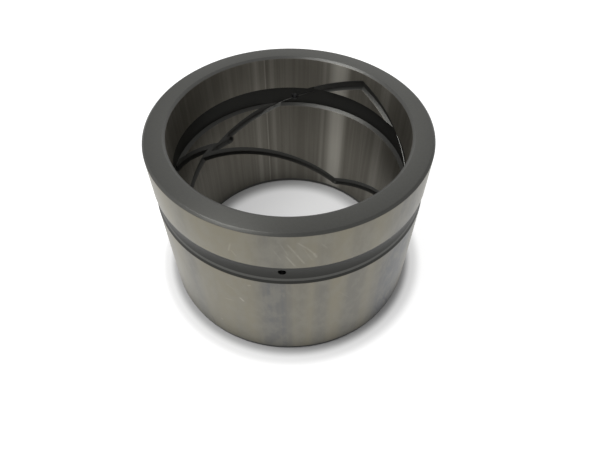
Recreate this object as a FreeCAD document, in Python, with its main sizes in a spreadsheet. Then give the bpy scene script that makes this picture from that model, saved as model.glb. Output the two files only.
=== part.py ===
import FreeCAD, Part
import Sketcher
import math
import os

os.makedirs("parts", exist_ok=True)
doc = FreeCAD.newDocument("bushing")

# Sizes in millimetres and degrees. The axis of the bushing is Z, its bottom face lies at
# height 0, and angles run counterclockwise, seen from above, from the oil hole at -Y.
SIZES = {
    "bore_diameter": 110.0,
    "wall": 10.0,
    "length": 90.0,
    # Broken edges: how far each one reaches across the face and along the wall
    "outer_edge_across": 1.2,
    "outer_edge_along": 0.9,
    "bore_edge_across": 1.3,
    "bore_edge_along": 0.8,
    # Lead-in at the bottom, which starts the bushing into its boss
    "lead_in_across": 0.6,
    "lead_in_along": 2.6,
    # Oil hole, drilled through both walls, measured down from the top face
    "oil_hole_diameter": 3.5,
    "oil_hole_drop": 25.1,
    # Shallow round groove outside, with its middle a little below the oil hole
    "outer_groove_width": 11.3,
    "outer_groove_depth": 1.4,
    "outer_groove_drop": 1.0,
    # Groove in the bore, with its middle a little above the oil hole: its width at the mouth, and
    # how far each side slants in on its way down to the flat floor
    "bore_groove_width": 12.0,
    "bore_groove_depth": 1.9,
    "bore_groove_slant": 1.1,
    "bore_groove_rise": 0.8,
    # Zigzag oil track in the bore, cut by a tapered tool in two closed loops: its width at the
    # mouth and at the floor, how much further the tool cuts round where it turns, and the hairs
    # by which it sinks deeper there and in the level link between the loops
    "track_width": 5.0,
    "track_floor_width": 2.8,
    "track_depth": 1.7,
    "track_turn_relief": 0.15,
    "track_turn_sink": 0.06,
    "track_link_sink": 0.03,
    "track_end_margin": 7.3,
    "upper_loop_angle": 50.0,
    "lower_loop_lag": 12.0,
    "track_start_lead": 8.0,
}

sheet = doc.addObject("Spreadsheet::Sheet", "sizes")
for row, (alias, value) in enumerate(SIZES.items(), start=1):
    sheet.set(f"A{row}", alias)
    sheet.set(f"B{row}", str(value))
    sheet.setAlias(f"B{row}", alias)
doc.recompute()


def sized(formula):
    """The expression for a formula that names sizes in braces."""
    return formula.format(**{alias: f"<<sizes>>.{alias}" for alias in SIZES})


def number(expression):
    """The value that an expression has now."""
    return float(sheet.evalExpression(expression))


# Lengths that several features share
BORE_RADIUS = sized("({bore_diameter} / 2)")
OUTER_RADIUS = sized("({bore_diameter} / 2 + {wall})")
OIL_HOLE_HEIGHT = sized("({length} - {oil_hole_drop})")
# Half widths of the track's tapered tool: at the track's floor, and at its root, which stands as
# far out of the bore's wall as the track is deep
TOOL_TIP = sized("({track_floor_width} / 2)")
TOOL_ROOT = sized("({track_width} - {track_floor_width} / 2)")
MID_HEIGHT = sized("({length} / 2)")
SWING = sized("({length} / 2 - {track_end_margin})")
LOW_HEIGHT = sized("{track_end_margin}")
QUARTER_TURN = 90
HALF_TURN = 180

# Places in a sketch by their numbers: its own axes, the points of an edge, and the origin
X_AXIS, Y_AXIS = range(-1, -3, -1)
START, END, CENTRE = range(1, 4)
ORIGIN = (X_AXIS, START)


def origin_feature(body, role):
    """A plane or axis of the body's own origin."""
    return next(item for item in body.Origin.OriginFeatures if item.Role == role)


def section_sketch(body, name):
    """A sketch through the axis: its x is the radius, and its y is the height."""
    sketch = body.newObject("Sketcher::SketchObject", name)
    sketch.AttachmentSupport = [(origin_feature(body, "XZ_Plane"), "")]
    sketch.MapMode = "FlatFace"
    return sketch


def dimension(sketch, kind, place, expression):
    """A dimension of the sketch that follows an expression."""
    index = sketch.addConstraint(Sketcher.Constraint(kind, *place, number(expression)))
    sketch.setExpression(f"Constraints[{index}]", expression)


def add_outline(sketch, corners):
    """A closed outline of straight edges, each one from a corner to the next."""
    points = [FreeCAD.Vector(x, y, 0) for x, y in corners]
    for edge, (here, there) in enumerate(zip(points, points[1:] + points[:1])):
        sketch.addGeometry(Part.LineSegment(here, there), False)
        if edge > 0:
            sketch.addConstraint(Sketcher.Constraint("Coincident", edge - 1, END, edge, START))
    sketch.addConstraint(Sketcher.Constraint("Coincident", len(points) - 1, END, 0, START))


def turn(body, kind, sketch, name):
    """The sketch turned all the way round the axis, as added or as removed material."""
    feature = body.newObject(kind, name)
    feature.Profile = sketch
    feature.ReferenceAxis = (sketch, ["V_Axis"])
    feature.Angle = 360.0
    return feature


def ring_blank(body):
    """The wall of the bushing with its faces, broken edges and lead-in."""
    outer = number(OUTER_RADIUS)
    bore = number(BORE_RADIUS)
    length = SIZES["length"]
    sketch = section_sketch(body, "wall_section")
    add_outline(sketch, (
        (bore + SIZES["bore_edge_across"], 0),
        (outer - SIZES["lead_in_across"], 0),
        (outer, SIZES["lead_in_along"]),
        (outer, length - SIZES["outer_edge_along"]),
        (outer - SIZES["outer_edge_across"], length),
        (bore + SIZES["bore_edge_across"], length),
        (bore, length - SIZES["bore_edge_along"]),
        (bore, SIZES["bore_edge_along"]),
    ))
    bottom_face, lead_in, outside, outer_edge, top_face, top_bore_edge, wall, low_bore_edge = range(8)
    for edge in (bottom_face, top_face):
        sketch.addConstraint(Sketcher.Constraint("Horizontal", edge))
    for edge in (outside, wall):
        sketch.addConstraint(Sketcher.Constraint("Vertical", edge))
    sketch.addConstraint(Sketcher.Constraint("PointOnObject", bottom_face, START, X_AXIS))
    dimension(sketch, "DistanceY", (bottom_face, START, top_face, END), sized("{length}"))
    dimension(sketch, "DistanceX", (*ORIGIN, outside, START), OUTER_RADIUS)
    dimension(sketch, "DistanceX", (*ORIGIN, wall, START), BORE_RADIUS)
    dimension(sketch, "DistanceX", (lead_in, START, lead_in, END), sized("{lead_in_across}"))
    dimension(sketch, "DistanceY", (lead_in, START, lead_in, END), sized("{lead_in_along}"))
    dimension(sketch, "DistanceX", (outer_edge, END, outer_edge, START), sized("{outer_edge_across}"))
    dimension(sketch, "DistanceY", (outer_edge, START, outer_edge, END), sized("{outer_edge_along}"))
    dimension(sketch, "DistanceX", (top_bore_edge, END, top_bore_edge, START), sized("{bore_edge_across}"))
    dimension(sketch, "DistanceY", (top_bore_edge, END, top_bore_edge, START), sized("{bore_edge_along}"))
    dimension(sketch, "DistanceX", (low_bore_edge, START, low_bore_edge, END), sized("{bore_edge_across}"))
    dimension(sketch, "DistanceY", (low_bore_edge, END, low_bore_edge, START), sized("{bore_edge_along}"))
    turn(body, "PartDesign::Revolution", sketch, "wall_ring")


def outer_groove(body):
    """The shallow groove outside, whose section is an arc of the stated width and depth."""
    arc_radius = sized(
        "(({outer_groove_width} ^ 2 / 4 + {outer_groove_depth} ^ 2) / (2 * {outer_groove_depth}))"
    )
    height = f"{OIL_HOLE_HEIGHT} - {sized('{outer_groove_drop}')}"
    centre_radius = f"{OUTER_RADIUS} - {sized('{outer_groove_depth}')} + {arc_radius}"
    sketch = section_sketch(body, "outer_groove_section")
    centre = FreeCAD.Vector(number(centre_radius), number(height), 0)
    circle = Part.Circle(centre, FreeCAD.Vector(0, 0, 1), number(arc_radius))
    sketch.addGeometry(circle, False)
    dimension(sketch, "Radius", (0,), arc_radius)
    dimension(sketch, "DistanceX", (*ORIGIN, 0, CENTRE), centre_radius)
    dimension(sketch, "DistanceY", (*ORIGIN, 0, CENTRE), height)
    turn(body, "PartDesign::Groove", sketch, "outer_groove")


def bore_groove(body):
    """The groove in the bore, with a flat floor and slanting sides."""
    floor_radius = f"{BORE_RADIUS} + {sized('{bore_groove_depth}')}"
    open_radius = f"{BORE_RADIUS} - {sized('{bore_groove_depth}')}"
    low_floor = OIL_HOLE_HEIGHT + sized(
        " + {bore_groove_rise} - {bore_groove_width} / 2 + {bore_groove_slant}"
    )
    floor_width = sized("({bore_groove_width} - 2 * {bore_groove_slant})")
    side_rise = sized("(2 * {bore_groove_slant})")
    floor = number(floor_radius)
    mouth = number(open_radius)
    low = number(low_floor)
    high = low + number(floor_width)
    sketch = section_sketch(body, "bore_groove_section")
    add_outline(sketch, (
        (mouth, low - number(side_rise)),
        (floor, low),
        (floor, high),
        (mouth, high + number(side_rise)),
    ))
    low_side, floor_line, high_side, open_side = range(4)
    for edge in (floor_line, open_side):
        sketch.addConstraint(Sketcher.Constraint("Vertical", edge))
    dimension(sketch, "DistanceX", (*ORIGIN, floor_line, START), floor_radius)
    dimension(sketch, "DistanceX", (*ORIGIN, open_side, START), open_radius)
    dimension(sketch, "DistanceY", (*ORIGIN, floor_line, START), low_floor)
    dimension(sketch, "DistanceY", (floor_line, START, floor_line, END), floor_width)
    dimension(sketch, "DistanceY", (low_side, START, low_side, END), side_rise)
    dimension(sketch, "DistanceY", (high_side, START, high_side, END), side_rise)
    turn(body, "PartDesign::Groove", sketch, "bore_groove")


def oil_hole(body):
    """The oil hole, one drilling across the axis that opens in both grooves."""
    sketch = section_sketch(body, "oil_hole_section")
    centre = FreeCAD.Vector(0, number(OIL_HOLE_HEIGHT), 0)
    circle = Part.Circle(centre, FreeCAD.Vector(0, 0, 1), SIZES["oil_hole_diameter"] / 2)
    sketch.addGeometry(circle, False)
    dimension(sketch, "Diameter", (0,), sized("{oil_hole_diameter}"))
    dimension(sketch, "DistanceY", (*ORIGIN, 0, CENTRE), OIL_HOLE_HEIGHT)
    sketch.addConstraint(Sketcher.Constraint("PointOnObject", 0, CENTRE, Y_AXIS))
    hole = body.newObject("PartDesign::Pocket", "oil_hole")
    hole.Profile = sketch
    hole.Type = "ThroughAll"
    hole.Midplane = True


def turned_ring():
    """The bushing before its oil track is cut."""
    body = doc.addObject("PartDesign::Body", "turned_ring")
    ring_blank(body)
    outer_groove(body)
    bore_groove(body)
    oil_hole(body)
    return body


def seat(item, angle, height):
    """Turns an item about the axis to an angle from the oil hole, and lifts it to a height."""
    item.Placement = FreeCAD.Placement(FreeCAD.Vector(), FreeCAD.Rotation(FreeCAD.Vector(0, 0, 1), 1))
    item.setExpression("Placement.Rotation.Angle", f"{angle} - {QUARTER_TURN}")
    item.setExpression("Placement.Base.z", height)


def tool_section(path, name, depth):
    """The tapered tool's section, square to the start of a path on the bore's wall: its x points
    away from the axis of the bushing, and it reaches a depth into the wall."""
    deep = number(depth)
    root = number(TOOL_ROOT)
    tip = number(TOOL_TIP)
    sketch = doc.addObject("Sketcher::SketchObject", name)
    add_outline(sketch, (
        (-SIZES["track_depth"], -root), (deep, -tip), (deep, tip), (-SIZES["track_depth"], root),
    ))
    low_side, tip_line, high_side, root_line = range(4)
    for edge in (root_line, tip_line):
        sketch.addConstraint(Sketcher.Constraint("Symmetric", edge, START, edge, END, X_AXIS))
    dimension(sketch, "DistanceX", (root_line, START, *ORIGIN), sized("{track_depth}"))
    dimension(sketch, "DistanceX", (*ORIGIN, tip_line, START), depth)
    dimension(sketch, "DistanceY", (root_line, END, root_line, START), f"2 * {TOOL_ROOT}")
    dimension(sketch, "DistanceY", (tip_line, START, tip_line, END), f"2 * {TOOL_TIP}")
    sketch.AttachmentSupport = [(path, "Edge1")]
    sketch.MapMode = "FrenetNB"
    sketch.MapPathParameter = 0.0
    return sketch


def tool_run(path, name, depth):
    """What the tapered tool clears on its way along a path on the bore's wall."""
    run = doc.addObject("Part::Sweep", name)
    run.Sections = [tool_section(path, f"{name}_section", depth)]
    run.Spine = (path, ["Edge1"])
    run.Solid = True
    run.Frenet = True
    return run


def tool_turn(path, name, place):
    """What the tapered tool clears where it turns, at the start or the end of a path."""
    tool = doc.addObject("Part::Cone", name)
    tool.setExpression("Radius1", f"{TOOL_ROOT} + {sized('{track_turn_relief}')}")
    tool.setExpression("Radius2", f"{TOOL_TIP} + {sized('{track_turn_relief}')}")
    tool.setExpression("Height", sized("2 * {track_depth} + {track_turn_sink}"))
    tool.AttachmentSupport = [(path, "Edge1")]
    tool.MapMode = "FrenetTB"
    tool.MapPathParameter = place
    tool.setExpression("AttachmentOffset.Base.z", sized("-{track_depth}"))
    return tool


def leg_path(name, angle, height, hand):
    """The path of one slanting leg, which rises from a low turn over a quarter of the bore."""
    path = doc.addObject("Part::Helix", name)
    path.LocalCoord = hand
    path.setExpression("Radius", BORE_RADIUS)
    path.setExpression("Height", SWING)
    path.setExpression("Pitch", f"{SWING} * 360 / {QUARTER_TURN}")
    seat(path, angle, height)
    return path


def track_loop(loop, first_low, height):
    """One closed loop of the oil track: twice a leg up and a leg down, round the whole bore."""
    turns = []
    runs = []
    for side in range(2):
        angle = f"{first_low} + {side * HALF_TURN}"
        rise = leg_path(f"{loop}_rise_path_{side}", angle, height, "Right-handed")
        fall = leg_path(f"{loop}_fall_path_{side}", angle, height, "Left-handed")
        runs.append(tool_run(rise, f"{loop}_rise_{side}", sized("{track_depth}")))
        runs.append(tool_run(fall, f"{loop}_fall_{side}", sized("{track_depth}")))
        turns.append(tool_turn(rise, f"{loop}_low_turn_{side}", 0.0))
        turns.append(tool_turn(rise, f"{loop}_high_turn_{side}", 1.0))
    return turns, runs


def track_link():
    """The level run of the oil track, from its blind start past a turn of each loop."""
    path = doc.addObject("Part::Circle", "link_path")
    path.setExpression("Radius", BORE_RADIUS)
    path.setExpression("Angle2", sized("({track_start_lead} + {lower_loop_lag})"))
    start = sized("({upper_loop_angle} - {track_start_lead})") + f" + {HALF_TURN}"
    seat(path, start, MID_HEIGHT)
    link = tool_run(path, "link", sized("({track_depth} + {track_link_sink})"))
    return tool_turn(path, "track_start", 0.0), link


def cut_away(name, base, tool):
    """The base with the tool's shape cut out of it."""
    result = doc.addObject("Part::Cut", name)
    result.Base = base
    result.Tool = tool
    return result


def grooved_bushing():
    """The turned ring with its oil track cut into the bore, the turns of the track first."""
    upper_low = sized("{upper_loop_angle}")
    lower_low = sized("({upper_loop_angle} + {lower_loop_lag})") + f" + {QUARTER_TURN}"
    upper_turns, upper_runs = track_loop("upper", upper_low, MID_HEIGHT)
    lower_turns, lower_runs = track_loop("lower", lower_low, LOW_HEIGHT)
    track_start, link = track_link()
    turns = doc.addObject("Part::MultiFuse", "turns")
    turns.Shapes = upper_turns + lower_turns + [track_start]
    ring = turned_ring()
    for tool in [turns] + upper_runs + lower_runs + [link]:
        ring = cut_away(f"ring_less_{tool.Name}", ring, tool)
    ring.Label = "bushing"
    return ring


bushing = grooved_bushing()
doc.recompute()

failed = [item.Name for item in doc.Objects if {"Invalid", "Error"} & set(item.State)]
if failed:
    raise RuntimeError(f"these did not build: {', '.join(failed)}")

for part in (bushing,):
    shape = part.Shape
    if shape.isNull() or not shape.isValid():
        raise RuntimeError(f"{part.Label} has no valid shape")
    if len(shape.Solids) != 1:
        raise RuntimeError(f"{part.Label} is not one solid")
    shape.exportStep(f"parts/{part.Label}.step")
    print(part.Label, "volume", round(shape.Volume), "faces", len(shape.Faces))
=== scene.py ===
import bpy
from collections import Counter
from math import cos, degrees, radians, tau
from mathutils import Euler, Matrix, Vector


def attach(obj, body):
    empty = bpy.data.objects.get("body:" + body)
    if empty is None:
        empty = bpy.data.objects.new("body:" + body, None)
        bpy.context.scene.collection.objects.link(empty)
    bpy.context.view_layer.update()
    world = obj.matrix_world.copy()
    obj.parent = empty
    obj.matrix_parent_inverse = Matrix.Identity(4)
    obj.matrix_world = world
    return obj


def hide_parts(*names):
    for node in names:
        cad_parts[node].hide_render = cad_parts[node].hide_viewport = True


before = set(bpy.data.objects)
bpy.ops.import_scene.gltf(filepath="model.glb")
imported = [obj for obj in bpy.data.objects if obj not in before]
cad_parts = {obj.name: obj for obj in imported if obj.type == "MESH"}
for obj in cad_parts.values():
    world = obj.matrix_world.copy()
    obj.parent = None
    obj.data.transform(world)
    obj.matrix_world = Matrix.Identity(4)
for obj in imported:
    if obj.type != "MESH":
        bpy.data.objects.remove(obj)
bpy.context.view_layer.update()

MM = 0.001
# In millimetres: points closer than the first are one point, and an edge shorter than the
# second is a burr of the cuts
SAME_POINT = 0.001
SMALLEST_EDGE = 0.01

# The bushing's sizes in millimetres, as its CAD solid has them, stood on its bottom face
LENGTH = 90.0
BORE_RADIUS = 55.0
OUTER_RADIUS = 65.0
OIL_HOLE_RADIUS = 1.75
OIL_HOLE_HEIGHT = 64.9

# Its broken edges and its lead-in, as the corner's radius or its distance from the end
BORE_EDGE_RADIUS = 56.3
BORE_EDGE_DROP = 0.8
RIM_RADIUS = 63.8
RIM_DROP = 0.9
LEAD_IN_RADIUS = 64.4
LEAD_IN_HEIGHT = 2.6
# Flat groove in the bore: its floor's radius, and the heights of its two slanting sides
FLAT_GROOVE_RADIUS = 56.9
LOW_SIDE = (59.7, 60.8)
HIGH_SIDE = (70.6, 71.7)

# Outside groove: the circle that its section is part of
OUTER_GROOVE_HEIGHT = 63.9
OUTER_GROOVE_HALF_WIDTH = 5.65
OUTER_GROOVE_DEPTH = 1.4

# Oil track: heights of its turns, and angles in degrees from the oil hole at -Y
TRACK_LOW = 7.3
TRACK_MIDDLE = 45.0
TRACK_RISE = 37.7
UPPER_LOOP_ANGLE = 50.0
LOWER_LOOP_ANGLE = 152.0
LINK_START_ANGLE = 222.0
LINK_TURN = 20.0
# Half of the tapered tool's section, as depth below the wall and half width: it flares a little
# at the wall, which breaks the edge of the track
TRACK_TOOL = ((-1.7, 3.7), (-0.1, 2.72), (0.12, 2.42), (1.7, 1.4))
# How much taller an upright section of a leg is than the tool is wide, from the leg's slope
LEG_SLANT = cos(radians(23.57))
# Where the track crosses the flat groove in the bore, between these heights, its tool goes
# deeper and leaves a fine trace in that groove's floor
GROOVE_BOTTOM = 60.85
GROOVE_TOP = 70.55
CROSSING_SINK = 0.45
# The tool clears a little more width and depth where it turns on the spot
TURN_RELIEF = 0.1
TURN_SINK = 0.03

# Steps round the bushing, along a leg, and round a turn, a drill and the outside groove's half
# section; the rounding of sharp edges; and the angle up to which faces shade as one
ROUND_STEPS = 320
LEG_STEPS = 72
TURN_STEPS = 48
DRILL_STEPS = 48
GROOVE_STEPS = 8
EDGE_ROUND = 0.16
EDGE_STEPS = 3
SMOOTH_ANGLE = 24

# Where the photographer's lens stood, from the axis of the bushing at the floor, and how it
# was tipped, turned and levelled
LENS_PLACE = (10.17 * MM, -176.38 * MM, 227.37 * MM)
LENS_TIP = 40.368
LENS_LEVEL = -0.385
LENS_TURN = 2.034
LENS_LENGTH = 29.28
FILM_WIDTH = 36

# Colours of the steel's finishes, and of the painted shade, painted light and painted reflections
# laid on it
GROUND_WARM = (0.196, 0.182, 0.141, 1)
GROUND_BLUE = (0.108, 0.112, 0.120, 1)
GROUND_PALE = (0.206, 0.198, 0.168, 1)
HONED_DARK = (0.172, 0.161, 0.136, 1)
# The paler honed grey, for the honing streaks and for the painted reflections in the bore
HONED_PALE_AND_REFLECTION = (0.520, 0.500, 0.445, 1)
# Grey of the grooves' floors, partly their dark turned finish and partly painted shade; also the
# painted shade at the bore's foot and on the lead-in, and the dark speckle
GROOVE_GREY_AND_SHADE = (0.032, 0.032, 0.029, 1)
TRACK_GREY = (0.065, 0.065, 0.060, 1)
EDGE_GREY = (0.105, 0.105, 0.098, 1)
# Painted light on the bore groove's lower side and on the track's edges
SIDE_PAINTED_LIGHT = (0.088, 0.088, 0.082, 1)
# Painted highlight on the trace where the track crosses the bore's groove
CROSSING_PAINTED_HIGHLIGHT = (0.190, 0.190, 0.180, 1)
# Painted shade that fills the oil hole
OIL_HOLE_PAINTED_SHADE = (0.010, 0.010, 0.010, 1)
RIM_GREY = (0.138, 0.138, 0.131, 1)
FACE_GREY = (0.110, 0.110, 0.102, 1)
SCRATCH_LIGHT = (0.560, 0.540, 0.480, 1)
MARK_DARK = (0.075, 0.075, 0.090, 1)

# Upright blue-grey bands outside, as angle from the oil hole, half width and strength
BLUE_BANDS = ((-3.0, 11.0, 0.78), (-40.0, 7.0, 0.50), (-56.0, 5.0, 0.35), (15.0, 5.0, 0.45),
              (29.0, 8.0, 0.50), (52.0, 20.0, 0.95), (140.0, 9.0, 0.5), (-115.0, 12.0, 0.5))
# Scratches outside, as start and end in mm of girth and height, half width and strength
LIGHT_SCRATCHES = (
    ((1.9, 85.6), (5.9, 78.6), 0.65, 0.10), ((5.2, 79.8), (9.4, 71.6), 0.65, 0.13),
    ((1.2, 78.6), (5.8, 70.1), 0.58, 0.13), ((5.8, 86.2), (9.8, 82.0), 0.58, 0.11),
    ((9.0, 83.2), (13.2, 77.4), 0.65, 0.11), ((12.4, 78.8), (13.9, 75.2), 0.87, 0.12),
    ((-3.4, 82.0), (0.2, 74.4), 0.51, 0.06), ((7.4, 84.6), (12.6, 73.0), 0.51, 0.05),
    ((-0.6, 86.0), (3.0, 77.0), 0.51, 0.06), ((15.0, 84.4), (18.0, 80.0), 0.51, 0.06),
    ((-19.8, 81.2), (-21.4, 74.9), 0.65, 0.10), ((-20.4, 76.9), (-18.0, 72.9), 0.58, 0.08),
    ((-19.9, 42.6), (-17.6, 39.5), 0.80, 0.24), ((-28.2, 36.6), (-22.9, 37.7), 0.58, 0.10),
    ((-15.3, 53.6), (-13.3, 54.6), 0.87, 0.13), ((-33.2, 14.0), (-31.6, 13.7), 0.87, 0.17),
    ((-26.0, 50.4), (-21.0, 46.8), 0.51, 0.06), ((24.0, 48.0), (31.0, 38.0), 0.51, 0.04),
)
DARK_SCRATCHES = (
    ((54.8, 17.4), (62.2, 3.4), 1.10, 0.70), ((48.2, 16.4), (54.0, 3.6), 0.90, 0.45),
    ((58.0, 13.0), (62.0, 2.4), 0.70, 0.45), ((-39.8, 11.4), (-38.2, 2.6), 1.30, 0.35),
    ((51.5, 25.0), (56.5, 14.0), 0.70, 0.25), ((60.8, 4.6), (62.6, 1.6), 0.90, 0.80),
    ((58.4, 4.2), (60.0, 1.8), 0.80, 0.70),
)
# Bright upright streaks in the bore, which are painted reflections
PAINTED_REFLECTION_STREAKS = ((154.0, 8.0, 0.80), (163.0, 2.2, 0.2), (192.5, 2.0, 0.22), (202.0, 2.6, 0.22),
                 (196.6, 0.5, 0.3), (122.0, 6.0, 0.2), (30.0, 6.0, 0.5), (-60.0, 8.0, 0.4),
                 (75.0, 5.0, 0.3))

# Noise over the steel: its stretch along x, y and z, its scale for millimetres, detail and
# roughness
CLOUDS = ((1.0, 1.0, 0.12), 0.055, 3.0, 0.55)
STREAKS = ((1.0, 1.0, 0.015), 0.45, 3.0, 0.6)
MOTTLE = ((1.0, 1.0, 0.6), 0.22, 3.0, 0.6)
SPECKLE = ((1.0, 1.0, 1.0), 0.9, 3.0, 0.6)
# What each noise does: from and to which value it grows, and its share of the colour there
CLOUDS_TINT = (0.45, 0.72, 0.0, 0.35)
STREAKS_TINT = (0.25, 0.70, 0.75, 1.1)
MOTTLE_PALES = (0.40, 0.65, 0.0, 0.45)
STREAKS_LIGHTEN = (0.35, 0.75, 0.0, 0.14)
SPECKLE_DARKENS = (0.35, 0.70, 0.0, 0.08)
# The same by height in millimetres: the tint above the outside groove, and the painted shade that
# darkens the bore towards its foot
TINT_FADES = (56.0, 70.0, 1.0, 0.6)
BORE_FOOT_PAINTED_SHADE = (0.0, 42.0, 0.32, 0.0)
# Where bands and scratches fade, as shares of their half width or of a scratch's length
BAND_FADES = (0.15, 1.0)
SCRATCH_SIDE_FADES = (0.1, 1.0)
SCRATCH_START_FADES = (0.0, 0.3)
SCRATCH_END_FADES = (0.8, 1.0)

# How rough each finish is, and how metallic the dark turned steel is beside the ground steel
OUTSIDE_ROUGH = 0.34
BORE_ROUGH = 0.47
DARK_ROUGH = 0.40
FACE_ROUGH = 0.38
DARK_METALLIC = 0.75
BRUSHED = 0.75
BRUSHED_ACROSS = 0.25

# Where the finishes, the painted shade and the painted light meet, in millimetres: start and end
# of each soft change. First by radius, from the axis outwards, then by height, from the floor
# upwards
BORE_TO = (55.03, 55.12)
GROOVE_SIDE_TO = (55.45, 55.75)
TRACK_TO = (56.76, 56.84)
CROSSING_FROM, CROSSING_TO = (56.92, 56.95), (57.10, 57.13)
INNER_RIM_TO = (57.0, 60.0)
DRILLED_FROM, DRILLED_TO = (57.2, 57.3), (63.3, 63.4)
LEAD_IN_FROM = (64.0, 64.2)
OUTSIDE_FROM = (64.90, 64.97)
LOW_FACE_TO = (0.03, 0.10)
LOW_EDGE_TO = (0.85, 1.0)
LAND_FROM, LEAD_IN_TO = (2.5, 2.6), (2.5, 2.62)
GROOVE_WALL_FROM, GROOVE_WALL_TO = (59.6, 59.7), (60.75, 60.85)
AT_GROOVE_FROM, AT_GROOVE_TO = (60.0, 60.9), (69.0, 70.4)
HIGH_EDGE_FROM = (89.0, 89.15)
HIGH_FACE_FROM = (89.90, 89.97)

# Light from all round, and the white table's paint and its size in metres
ROOM_LIGHT = 0.42
TABLE_PAINT = 0.55
TABLE_ROUGH = 0.9
TABLE_SIZE = 4
# How much the table glows by itself, by the distance from the bushing's axis in mm; the low glow at
# the bushing's foot is a painted contact shadow
TABLE_GLOW_AND_SHADOW = ((44, 0.42), (54, 0.06), (65.5, 0.03), (70.5, 0.46), (77, 0.80))
# Soft boxes: name, place in metres, size and power
SOFT_BOXES = (
    ("overhead", (-0.50, -0.15, 1.13), 0.6, 6.0),
    ("left_window", (-1.3, 0.1, 0.62), 0.9, 1.2),
    ("back_card", (0.0, 1.5, 0.85), 1.3, 3.0),
)
# The height that they are turned to, the bushing's middle
AIM_HEIGHT = LENGTH / 2 * MM


def deselect_all():
    """Nothing selected, so the next operator acts on its own piece alone."""
    if bpy.context.object and bpy.context.object.mode != "OBJECT":
        bpy.ops.object.mode_set(mode="OBJECT")
    bpy.ops.object.select_all(action="DESELECT")


def draw_outline(name, corners):
    """A closed outline in the plane x = 0, drawn corner by corner as (radius, height)."""
    deselect_all()
    points = [Vector((0, -radius * MM, height * MM)) for radius, height in corners]
    bpy.ops.mesh.primitive_plane_add(size=MM)
    piece = bpy.context.object
    piece.name = piece.data.name = name
    bpy.ops.object.mode_set(mode="EDIT")
    bpy.ops.mesh.select_all(action="SELECT")
    bpy.ops.mesh.merge(type="CENTER")
    bpy.ops.transform.translate(value=points[0])
    for here, there in zip(points, points[1:]):
        bpy.ops.mesh.extrude_vertices_move(TRANSFORM_OT_translate={"value": there - here})
    bpy.ops.mesh.select_all(action="SELECT")
    bpy.ops.mesh.edge_face_add()
    bpy.ops.mesh.delete(type="ONLY_FACE")
    return piece


def close_surface():
    """The piece in edit mode with its doubles merged and its faces pointing outwards."""
    bpy.ops.mesh.select_all(action="SELECT")
    bpy.ops.mesh.remove_doubles(threshold=SAME_POINT * MM)
    bpy.ops.mesh.delete_loose()
    bpy.ops.mesh.select_all(action="SELECT")
    bpy.ops.mesh.normals_make_consistent(inside=False)
    bpy.ops.object.mode_set(mode="OBJECT")


def apply_modifier(piece, kind, **settings):
    """One modifier put on a piece, set, and applied."""
    deselect_all()
    piece.select_set(True)
    bpy.context.view_layer.objects.active = piece
    modifier = piece.modifiers.new(kind.lower(), kind)
    for name, value in settings.items():
        setattr(modifier, name, value)
    bpy.ops.object.modifier_apply(modifier=modifier.name)


def outer_groove_corners():
    """The corners of the outside groove's round section, from its low edge to its high edge."""
    depth, half = OUTER_GROOVE_DEPTH, OUTER_GROOVE_HALF_WIDTH
    arc = (half ** 2 + depth ** 2) / (2 * depth)
    centre = OUTER_RADIUS - depth + arc
    corners = []
    for step in range(-GROOVE_STEPS, GROOVE_STEPS + 1):
        height = half * step / GROOVE_STEPS
        corners.append((centre - (arc ** 2 - height ** 2) ** 0.5, OUTER_GROOVE_HEIGHT + height))
    return corners


def turned_ring():
    """The wall's section, with its sharp edges rounded by a hair, spun about the axis."""
    flat_floor = [(FLAT_GROOVE_RADIUS, HIGH_SIDE[0]), (FLAT_GROOVE_RADIUS, LOW_SIDE[1])]
    corners = [(BORE_EDGE_RADIUS, 0), (LEAD_IN_RADIUS, 0), (OUTER_RADIUS, LEAD_IN_HEIGHT)]
    corners += outer_groove_corners()
    corners += [(OUTER_RADIUS, LENGTH - RIM_DROP), (RIM_RADIUS, LENGTH)]
    corners += [(BORE_EDGE_RADIUS, LENGTH), (BORE_RADIUS, LENGTH - BORE_EDGE_DROP)]
    corners += [(BORE_RADIUS, HIGH_SIDE[1])] + flat_floor + [(BORE_RADIUS, LOW_SIDE[0])]
    corners += [(BORE_RADIUS, BORE_EDGE_DROP)]
    ring = draw_outline("turned_bushing", corners)
    bpy.ops.object.mode_set(mode="OBJECT")
    left_sharp = flat_floor + outer_groove_corners()[1:-1]
    for vertex, corner in zip(ring.data.vertices, corners):
        vertex.select = corner not in left_sharp
    bpy.ops.object.mode_set(mode="EDIT")
    bpy.ops.mesh.bevel(affect="VERTICES", offset=EDGE_ROUND * MM, segments=EDGE_STEPS)
    bpy.ops.mesh.select_all(action="SELECT")
    bpy.ops.mesh.spin(steps=ROUND_STEPS, angle=tau, center=(0, 0, 0), axis=(0, 0, 1))
    close_surface()
    return ring


def tool_half(sink, widen=0.0, slant=1.0):
    """Half of the tapered tool's section, as corners by radius and half width."""
    return [(BORE_RADIUS + depth + (sink if depth > 1 else 0), (width + widen) / slant)
            for depth, width in TRACK_TOOL]


def track_leg(name, turn, rise, slant, sink=0.0):
    """What the tool clears along a leg that turns about the axis and rises on its way."""
    half = tool_half(sink, slant=slant)
    leg = draw_outline(name, half + [(radius, -width) for radius, width in reversed(half)])
    bpy.ops.object.mode_set(mode="OBJECT")
    apply_modifier(leg, "SCREW", axis="Z", angle=radians(turn), screw_offset=rise * MM,
                   steps=LEG_STEPS, render_steps=LEG_STEPS, use_smooth_shade=False)
    bpy.ops.object.mode_set(mode="EDIT")
    bpy.ops.mesh.select_all(action="SELECT")
    bpy.ops.mesh.fill_holes(sides=0)
    close_surface()
    return leg


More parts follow.
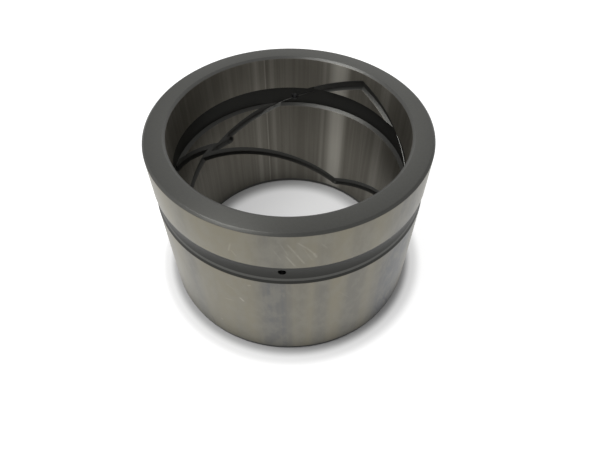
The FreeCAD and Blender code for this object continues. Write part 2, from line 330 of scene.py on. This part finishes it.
def track_turn(name):
    """What the tool clears where it turns on the spot, at the oil hole's angle and height 0."""
    half = tool_half(TURN_SINK, TURN_RELIEF)
    turn = draw_outline(name, [(half[0][0], 0)] + half + [(half[-1][0], 0)])
    bpy.ops.mesh.select_all(action="SELECT")
    bpy.ops.mesh.spin(steps=TURN_STEPS, angle=tau, center=(0, 0, 0), axis=(0, 1, 0))
    close_surface()
    return turn


def placed_copy(piece, angle, height):
    """A copy of a tool with its own mesh, turned about the axis and lifted to a height."""
    copy = piece.copy()
    copy.data = piece.data.copy()
    bpy.context.collection.objects.link(copy)
    deselect_all()
    copy.select_set(True)
    bpy.context.view_layer.objects.active = copy
    copy.rotation_euler = (0, 0, radians(angle))
    copy.location = (0, 0, height * MM)
    bpy.ops.object.transform_apply(location=True, rotation=True, scale=True)
    return copy


def cut_out(piece, tools):
    """Each tool's shape cut out of the piece, and the tools put away."""
    for tool in tools:
        apply_modifier(piece, "BOOLEAN", operation="DIFFERENCE", solver="MANIFOLD", object=tool)
        bpy.data.objects.remove(tool)


def clear_burrs(piece):
    """The tiny edges that the cuts leave dissolved, and the faces that then hang by one edge
    deleted."""
    deselect_all()
    piece.select_set(True)
    bpy.context.view_layer.objects.active = piece
    bpy.ops.object.mode_set(mode="EDIT")
    bpy.ops.mesh.select_mode(type="FACE")
    bpy.ops.mesh.select_all(action="SELECT")
    bpy.ops.mesh.dissolve_degenerate(threshold=SMALLEST_EDGE * MM)
    bpy.ops.mesh.select_all(action="DESELECT")
    bpy.ops.object.mode_set(mode="OBJECT")
    faces = piece.data.polygons
    uses = Counter(edge for face in faces for edge in face.edge_keys)
    for face in faces:
        face.select = sum(uses[edge] == 1 for edge in face.edge_keys) > 1
    bpy.ops.object.mode_set(mode="EDIT")
    bpy.ops.mesh.delete(type="FACE")
    bpy.ops.object.mode_set(mode="OBJECT")


def oil_hole():
    """The drill that clears the oil hole through both walls."""
    deselect_all()
    bpy.ops.mesh.primitive_cylinder_add(
        vertices=DRILL_STEPS, radius=OIL_HOLE_RADIUS * MM, depth=3 * OUTER_RADIUS * MM,
        location=(0, 0, OIL_HOLE_HEIGHT * MM), rotation=(radians(90), 0, 0))
    bpy.ops.object.transform_apply(location=True, rotation=True, scale=True)
    return bpy.context.object


def track_tools():
    """All that the tool clears: eight legs with their turns, the link, and the crossings."""
    quarter = 90
    groove_rise = GROOVE_TOP - GROOVE_BOTTOM
    groove_turn = quarter * groove_rise / TRACK_RISE
    groove_start = quarter * (GROOVE_BOTTOM - TRACK_MIDDLE) / TRACK_RISE
    rise = track_leg("rise", quarter, TRACK_RISE, LEG_SLANT)
    fall = track_leg("fall", -quarter, TRACK_RISE, LEG_SLANT)
    link = track_leg("link", LINK_TURN, 0.0, 1.0, TURN_SINK / 2)
    crossings = [
        (track_leg("crossing", way * groove_turn, groove_rise, LEG_SLANT, CROSSING_SINK),
         way * groove_start) for way in (1, -1)
    ]
    turn = track_turn("turn")
    tools = []
    for loop_angle, low in ((UPPER_LOOP_ANGLE, TRACK_MIDDLE), (LOWER_LOOP_ANGLE, TRACK_LOW)):
        for angle in (loop_angle, loop_angle + 180):
            tools += [placed_copy(master, angle, low) for master in (rise, fall, turn)]
            tools.append(placed_copy(turn, angle + quarter, low + TRACK_RISE))
    tools += [placed_copy(master, LINK_START_ANGLE, TRACK_MIDDLE) for master in (link, turn)]
    for side in (UPPER_LOOP_ANGLE, UPPER_LOOP_ANGLE + 180):
        for crossing, start in crossings:
            tools.append(placed_copy(crossing, side + start, GROOVE_BOTTOM))
    for master in [rise, fall, link, turn] + [crossing for crossing, start in crossings]:
        bpy.data.objects.remove(master)
    return tools


def grooved_bushing():
    """The bushing with its oil hole and the zigzag oil track in its bore."""
    bushing = turned_ring()
    cut_out(bushing, [oil_hole()])
    cut_out(bushing, track_tools())
    clear_burrs(bushing)
    bpy.ops.object.shade_smooth_by_angle(angle=radians(SMOOTH_ANGLE))
    return bushing


def set_inputs(node, **values):
    """Values put into a node's named inputs, an underscore standing for a space."""
    for name, value in values.items():
        node.inputs[name.replace("_", " ")].default_value = value


class NodeBench:
    """Puts nodes into a tree and links them, so that a material reads from top to bottom."""

    def __init__(self, tree):
        self.tree = tree

    def feed(self, socket, value):
        """A link, where the value is another node's output, or else a plain value."""
        if isinstance(value, bpy.types.NodeSocket):
            self.tree.links.new(value, socket)
        else:
            socket.default_value = value

    def math(self, operation, *values, clamp=False):
        node = self.tree.nodes.new("ShaderNodeMath")
        node.operation = operation
        node.use_clamp = clamp
        for socket, value in zip(node.inputs, values):
            self.feed(socket, value)
        return node.outputs[0]

    def vector(self, operation, *values, scale=None):
        node = self.tree.nodes.new("ShaderNodeVectorMath")
        node.operation = operation
        for socket, value in zip(node.inputs, values):
            self.feed(socket, value)
        if scale is not None:
            self.feed(node.inputs["Scale"], scale)
        return node.outputs["Value" if operation in ("LENGTH", "DOT_PRODUCT") else "Vector"]

    def combine(self, x, y, z):
        node = self.tree.nodes.new("ShaderNodeCombineXYZ")
        for socket, value in zip(node.inputs, (x, y, z)):
            self.feed(socket, value)
        return node.outputs[0]

    def separate(self, vector):
        node = self.tree.nodes.new("ShaderNodeSeparateXYZ")
        self.feed(node.inputs[0], vector)
        return node.outputs

    def ramp(self, value, low, high, out_low=0.0, out_high=1.0):
        """A smooth change from one value to another between two limits."""
        node = self.tree.nodes.new("ShaderNodeMapRange")
        node.interpolation_type = "SMOOTHSTEP"
        for socket, item in zip(node.inputs, (value, low, high, out_low, out_high)):
            self.feed(socket, item)
        return node.outputs[0]

    def rise(self, value, limits):
        """1 past the limits, and 0 before them."""
        return self.ramp(value, *limits)

    def fall(self, value, limits):
        """1 before the limits, and 0 past them."""
        return self.ramp(value, *limits, 1.0, 0.0)

    def both(self, first, second):
        return self.math("MULTIPLY", first, second)

    def either(self, first, second):
        return self.math("MAXIMUM", first, second)

    def noise(self, point, stretch, scale, detail, roughness):
        """Noise at a point, stretched along its axes."""
        node = self.tree.nodes.new("ShaderNodeTexNoise")
        self.feed(node.inputs["Vector"], self.vector("MULTIPLY", point, stretch))
        set_inputs(node, Scale=scale, Detail=detail, Roughness=roughness)
        return node.outputs["Fac"]

    def mix(self, factor, first, second):
        """One colour laid over another."""
        node = self.tree.nodes.new("ShaderNodeMix")
        node.data_type = "RGBA"
        # Inputs 6 and 7 and output 2 are the sockets for colours
        self.feed(node.inputs["Factor"], factor)
        self.feed(node.inputs[6], first)
        self.feed(node.inputs[7], second)
        return node.outputs[2]

    def group(self, tree, **values):
        node = self.tree.nodes.new("ShaderNodeGroup")
        node.node_tree = tree
        for name, value in values.items():
            self.feed(node.inputs[name.replace("_", " ")], value)
        return node.outputs


def effect_group(name, inputs, outputs):
    """An empty shader node group with named inputs and outputs, and the bench to build it on."""
    tree = bpy.data.node_groups.new(name, "ShaderNodeTree")
    for title, kind in inputs:
        tree.interface.new_socket(title, in_out="INPUT", socket_type=f"NodeSocket{kind}")
    for title, kind in outputs:
        tree.interface.new_socket(title, in_out="OUTPUT", socket_type=f"NodeSocket{kind}")
    entry = tree.nodes.new("NodeGroupInput")
    result = tree.nodes.new("NodeGroupOutput")
    return tree, NodeBench(tree), entry.outputs, result.inputs


def place_group():
    """Where a point of the bushing lies: its millimetres, its radius, its angle in degrees from
    the oil hole, and the wall laid flat, as girth and height."""
    tree, bench, _, result = effect_group("place_on_bushing", (), (
        ("Point", "Vector"), ("Radius", "Float"), ("Angle", "Float"), ("Height", "Float"),
        ("Wall", "Vector"),
    ))
    coordinates = tree.nodes.new("ShaderNodeTexCoord")
    point = bench.vector("SCALE", coordinates.outputs["Object"], scale=1 / MM)
    x, y, z = bench.separate(point)
    radius = bench.vector("LENGTH", bench.combine(x, y, 0.0))
    turn = bench.math("ARCTAN2", x, bench.math("MULTIPLY", y, -1.0))
    angle = bench.math("MULTIPLY", turn, degrees(1))
    wall = bench.combine(bench.math("MULTIPLY", turn, OUTER_RADIUS), z, 0.0)
    for title, value in (("Point", point), ("Radius", radius), ("Angle", angle),
                         ("Height", z), ("Wall", wall)):
        bench.feed(result[title], value)
    return tree


def band_group():
    """A soft upright band on the wall, round an angle from the oil hole."""
    tree, bench, entry, result = effect_group("upright_band", (
        ("Angle", "Float"), ("Centre", "Float"), ("Half Width", "Float"),
    ), (("Mask", "Float"),))
    apart = bench.math("SUBTRACT", entry["Angle"], entry["Centre"])
    round_trip = bench.math("WRAP", apart, 180.0, -180.0)
    share = bench.math("DIVIDE", bench.math("ABSOLUTE", round_trip), entry["Half Width"])
    bench.feed(result["Mask"], bench.fall(share, BAND_FADES))
    return tree


def scratch_group():
    """One straight scratch between two points of the wall laid flat, faded at sides and ends."""
    tree, bench, entry, result = effect_group("scratch", (
        ("Wall", "Vector"), ("Start", "Vector"), ("End", "Vector"), ("Width", "Float"),
    ), (("Mask", "Float"),))
    run = bench.vector("SUBTRACT", entry["End"], entry["Start"])
    reach = bench.vector("SUBTRACT", entry["Wall"], entry["Start"])
    share = bench.math("DIVIDE", bench.vector("DOT_PRODUCT", reach, run),
                       bench.vector("DOT_PRODUCT", run, run), clamp=True)
    apart = bench.vector("LENGTH", bench.vector(
        "SUBTRACT", reach, bench.vector("SCALE", run, scale=share)))
    across = bench.fall(bench.math("DIVIDE", apart, entry["Width"]), SCRATCH_SIDE_FADES)
    ends = bench.both(bench.rise(share, SCRATCH_START_FADES),
                      bench.fall(share, SCRATCH_END_FADES))
    bench.feed(result["Mask"], bench.both(across, ends))
    return tree


def band_masks(bench, place, band, bands):
    """A mask for each upright band, at its strength."""
    for centre, half_width, strength in bands:
        mask = bench.group(band, Angle=place["Angle"], Centre=centre, Half_Width=half_width)["Mask"]
        yield bench.both(mask, strength)


def tinted_outside(bench, place, band, streaks):
    """The ground outside's colour: warm satin with upright clouds and bands of blue-grey, a paler
    mottle, fine light scratches, and dark marks near the foot."""
    blue = bench.ramp(bench.noise(place["Point"], *CLOUDS), *CLOUDS_TINT)
    for mask in band_masks(bench, place, band, BLUE_BANDS):
        blue = bench.either(blue, mask)
    blue = bench.math("MULTIPLY", blue, bench.ramp(streaks, *STREAKS_TINT), clamp=True)
    blue = bench.both(blue, bench.ramp(place["Height"], *TINT_FADES))
    colour = bench.mix(blue, GROUND_WARM, GROUND_BLUE)
    mottle = bench.ramp(bench.noise(place["Point"], *MOTTLE), *MOTTLE_PALES)
    colour = bench.mix(mottle, colour, GROUND_PALE)
    scratch = scratch_group()
    for marks, mark_colour in ((LIGHT_SCRATCHES, SCRATCH_LIGHT), (DARK_SCRATCHES, MARK_DARK)):
        for start, end, width, strength in marks:
            mask = bench.group(scratch, Wall=place["Wall"], Start=(*start, 0.0), End=(*end, 0.0),
                               Width=width)["Mask"]
            colour = bench.mix(bench.both(mask, strength), colour, mark_colour)
    return colour


def honed_bore(bench, place, band, streaks):
    """The honed bore's colour: darker, with painted shade darkest at the foot, honing streaks and
    bright upright painted reflections.
    """
    light = bench.ramp(streaks, *STREAKS_LIGHTEN)
    # Painted reflections: bright upright bands in the bore
    for mask in band_masks(bench, place, band, PAINTED_REFLECTION_STREAKS):
        light = bench.math("ADD", light, mask, clamp=True)
    colour = bench.mix(light, HONED_DARK, HONED_PALE_AND_REFLECTION)
    # Painted shade: the bore darkens towards its foot
    return bench.mix(bench.ramp(place["Height"], *BORE_FOOT_PAINTED_SHADE), colour, GROOVE_GREY_AND_SHADE)


def dark_turned(bench, place, face):
    """The colour of what is turned, milled and drilled: dark, and darkest on the grooves' floors,
    partly as painted shade; painted shade in the oil hole and on the lead-in, painted light on the
    bore groove's lower side and the track's edges, a painted highlight on the crossing's trace, and
    lighter on edges and faces."""
    radius, height = place["Radius"], place["Height"]
    edge = bench.either(bench.rise(height, HIGH_EDGE_FROM), bench.fall(height, LOW_EDGE_TO))
    # Painted light on the lower side of the bore's groove, which faces the lamps, and on the
    # track's edges near the bore
    painted_lit_groove_wall = bench.both(bench.rise(height, GROOVE_WALL_FROM),
                             bench.fall(height, GROOVE_WALL_TO))
    side = bench.either(bench.fall(radius, GROOVE_SIDE_TO), painted_lit_groove_wall)
    at_groove = bench.both(bench.rise(height, AT_GROOVE_FROM), bench.fall(height, AT_GROOVE_TO))
    # Painted highlight on the crossing's trace
    crossing = bench.both(bench.rise(radius, CROSSING_FROM), bench.fall(radius, CROSSING_TO))
    # Painted shade in the oil hole
    drilled = bench.both(bench.rise(radius, DRILLED_FROM), bench.fall(radius, DRILLED_TO))
    # Painted shade on the lead-in, as a contact shadow at the foot
    shaded_lead_in = bench.both(bench.rise(radius, LEAD_IN_FROM), bench.fall(height, LEAD_IN_TO))
    rim_colour = bench.mix(bench.fall(radius, INNER_RIM_TO), EDGE_GREY, RIM_GREY)
    speckle = bench.ramp(bench.noise(place["Point"], *SPECKLE), *SPECKLE_DARKENS)
    colour = bench.mix(bench.fall(radius, TRACK_TO), GROOVE_GREY_AND_SHADE, TRACK_GREY)
    for mask, laid_over in (
        (side, SIDE_PAINTED_LIGHT), (edge, rim_colour), (bench.both(crossing, at_groove), CROSSING_PAINTED_HIGHLIGHT),
        (bench.both(drilled, at_groove), OIL_HOLE_PAINTED_SHADE), (face, FACE_GREY),
        (speckle, GROOVE_GREY_AND_SHADE), (shaded_lead_in, GROOVE_GREY_AND_SHADE),
    ):
        colour = bench.mix(mask, colour, laid_over)
    return colour


def steel_finish():
    """Hard ground steel: satin lands with blue-grey bands and fine scratches, and dark turned
    grooves, track, edges and faces, with painted shade, painted light and painted reflections, all
    brushed round the axis."""
    steel = bpy.data.materials.new("ground_steel")
    steel.use_nodes = True
    bench = NodeBench(steel.node_tree)
    shader = steel.node_tree.nodes["Principled BSDF"]
    place = bench.group(place_group())
    radius, height = place["Radius"], place["Height"]
    bore = bench.fall(radius, BORE_TO)
    land = bench.both(bench.either(bench.rise(radius, OUTSIDE_FROM), bore),
                      bench.rise(height, LAND_FROM))
    face = bench.either(bench.rise(height, HIGH_FACE_FROM), bench.fall(height, LOW_FACE_TO))
    streaks = bench.noise(place["Point"], *STREAKS)
    band = band_group()
    land_colour = bench.mix(bore, tinted_outside(bench, place, band, streaks),
                            honed_bore(bench, place, band, streaks))
    bench.feed(shader.inputs["Base Color"],
               bench.mix(land, dark_turned(bench, place, face), land_colour))

    outside_rough, bore_rough, dark_rough, face_rough = (
        (rough, rough, rough, 1) for rough in (OUTSIDE_ROUGH, BORE_ROUGH, DARK_ROUGH, FACE_ROUGH))
    roughness = bench.mix(land, dark_rough, bench.mix(bore, outside_rough, bore_rough))
    bench.feed(shader.inputs["Roughness"], bench.mix(face, roughness, face_rough))
    bench.feed(shader.inputs["Metallic"], bench.ramp(land, 0.0, 1.0, DARK_METALLIC, 1.0))
    set_inputs(shader, Anisotropic=BRUSHED, Anisotropic_Rotation=BRUSHED_ACROSS)
    lay = steel.node_tree.nodes.new("ShaderNodeTangent")
    lay.direction_type = "RADIAL"
    lay.axis = "Z"
    bench.feed(shader.inputs["Tangent"], lay.outputs[0])
    return steel


def photographers_camera():
    """The camera that sees the bushing as the photograph does."""
    lens = bpy.data.cameras.new("lens")
    lens.lens = LENS_LENGTH
    lens.sensor_width = FILM_WIDTH
    lens.clip_start = 1 * MM
    camera = bpy.data.objects.new("camera", lens)
    camera.location = LENS_PLACE
    camera.rotation_euler = Euler((radians(LENS_TIP), radians(LENS_LEVEL), radians(LENS_TURN)))
    bpy.context.collection.objects.link(camera)
    bpy.context.scene.camera = camera


def white_floor():
    """The white table that the bushing stands on, whose glow drops at the bushing's foot as a
    painted contact shadow.
    """
    deselect_all()
    bpy.ops.mesh.primitive_plane_add(size=TABLE_SIZE)
    floor = bpy.context.object
    floor.name = "floor"
    paint = bpy.data.materials.new("white_table_with_painted_shadow")
    paint.use_nodes = True
    shader = paint.node_tree.nodes["Principled BSDF"]
    set_inputs(shader, Base_Color=(TABLE_PAINT, TABLE_PAINT, TABLE_PAINT, 1),
               Roughness=TABLE_ROUGH, Specular_IOR_Level=0.0, Emission_Strength=1.0)
    bench = NodeBench(paint.node_tree)
    coordinates = paint.node_tree.nodes.new("ShaderNodeTexCoord")
    x, y, _ = bench.separate(coordinates.outputs["Object"])
    away = bench.vector("LENGTH", bench.combine(x, y, 0.0))
    # The glow drops at the bushing's foot, inside and out, as a painted contact shadow
    glow = TABLE_GLOW_AND_SHADOW[0][1]
    for (near, before), (far, after) in zip(TABLE_GLOW_AND_SHADOW, TABLE_GLOW_AND_SHADOW[1:]):
        change = bench.ramp(away, near * MM, far * MM, 0.0, after - before)
        glow = bench.math("ADD", glow, change)
    bench.feed(shader.inputs["Emission Color"], bench.combine(glow, glow, glow))
    floor.data.materials.append(paint)


def soft_box(name, place, size, power):
    """A square studio light at a place, turned to the bushing's middle."""
    lamp = bpy.data.lights.new(name, "AREA")
    lamp.shape = "SQUARE"
    lamp.size = size
    lamp.energy = power
    box = bpy.data.objects.new(name, lamp)
    box.location = place
    aim = Vector((0, 0, AIM_HEIGHT)) - Vector(place)
    box.rotation_euler = aim.to_track_quat("-Z", "Y").to_euler()
    bpy.context.collection.objects.link(box)


def studio_light():
    """Soft light from above at left, from a window at left and from a card behind, and dimmer
    light from all round in a room that is white to the camera."""
    world = bpy.data.worlds.new("studio")
    world.use_nodes = True
    background = world.node_tree.nodes["Background"]
    seen = world.node_tree.nodes.new("ShaderNodeLightPath").outputs["Is Camera Ray"]
    bench = NodeBench(world.node_tree)
    room = (ROOM_LIGHT, ROOM_LIGHT, ROOM_LIGHT, 1)
    bench.feed(background.inputs["Color"], bench.mix(seen, room, (1, 1, 1, 1)))
    set_inputs(background, Strength=1.0)
    bpy.context.scene.world = world
    bpy.context.scene.view_settings.view_transform = "Standard"
    for name, place, size, power in SOFT_BOXES:
        soft_box(name, place, size, power)


bushing = grooved_bushing()
bushing.data.materials.clear()
bushing.data.materials.append(steel_finish())
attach(bushing, "root")
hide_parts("bushing")
photographers_camera()
white_floor()
studio_light()
